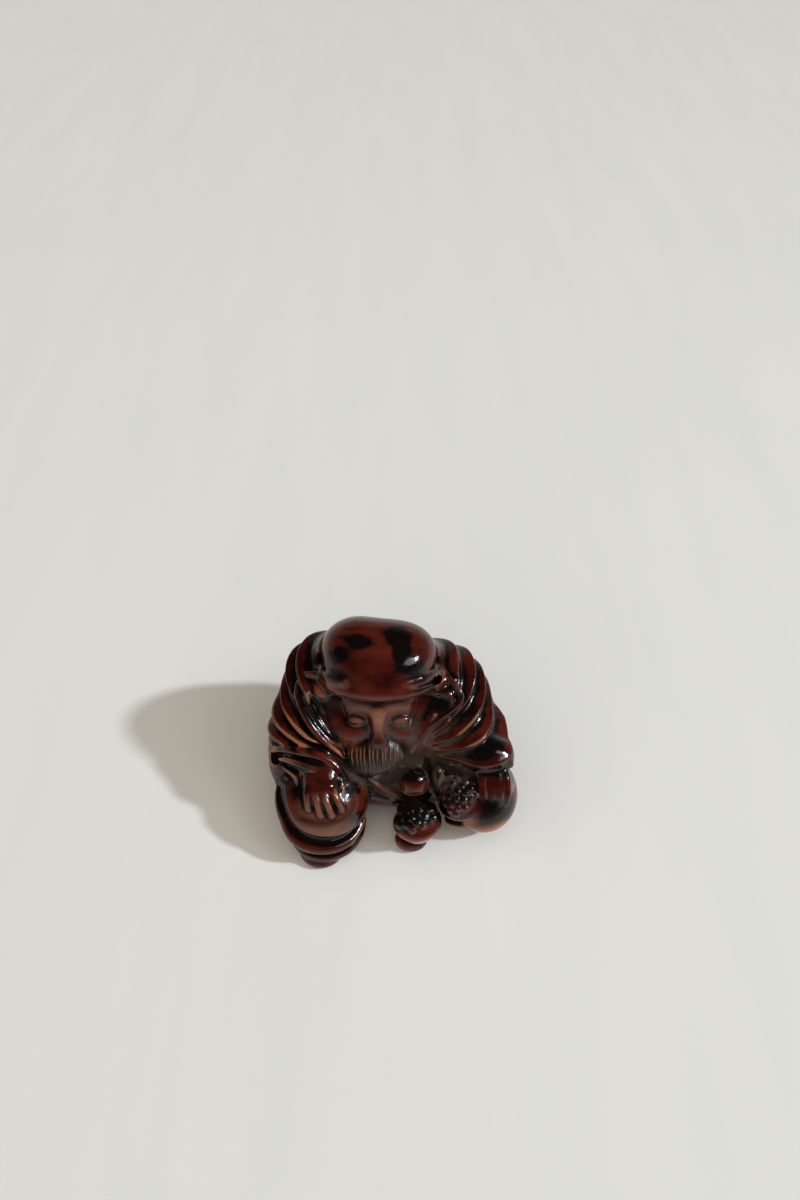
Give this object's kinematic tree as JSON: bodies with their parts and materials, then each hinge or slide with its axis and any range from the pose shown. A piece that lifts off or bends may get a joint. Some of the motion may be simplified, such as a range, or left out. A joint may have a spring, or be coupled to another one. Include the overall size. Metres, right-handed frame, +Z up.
{
  "type": "netsuke",
  "caption": "Carved wooden netsuke of a seated bearded old man in a soft cap and folded robe, holding round fruits, with cord holes in the back.",
  "frame": {"origin": "middle of the underside's bounding rectangle, on the plane it rests on", "axes": "+Z up, the figure faces -Y, its left hand is on the +X side"},
  "size_m": [0.0396, 0.0332, 0.029],
  "materials": {
    "stained_wood": "polished dark red-brown stain with black mottling, worn paler on the crests"
  },
  "bodies": {
    "root": {"netsuke_figure": "stained_wood"}
  },
  "joints": []
}
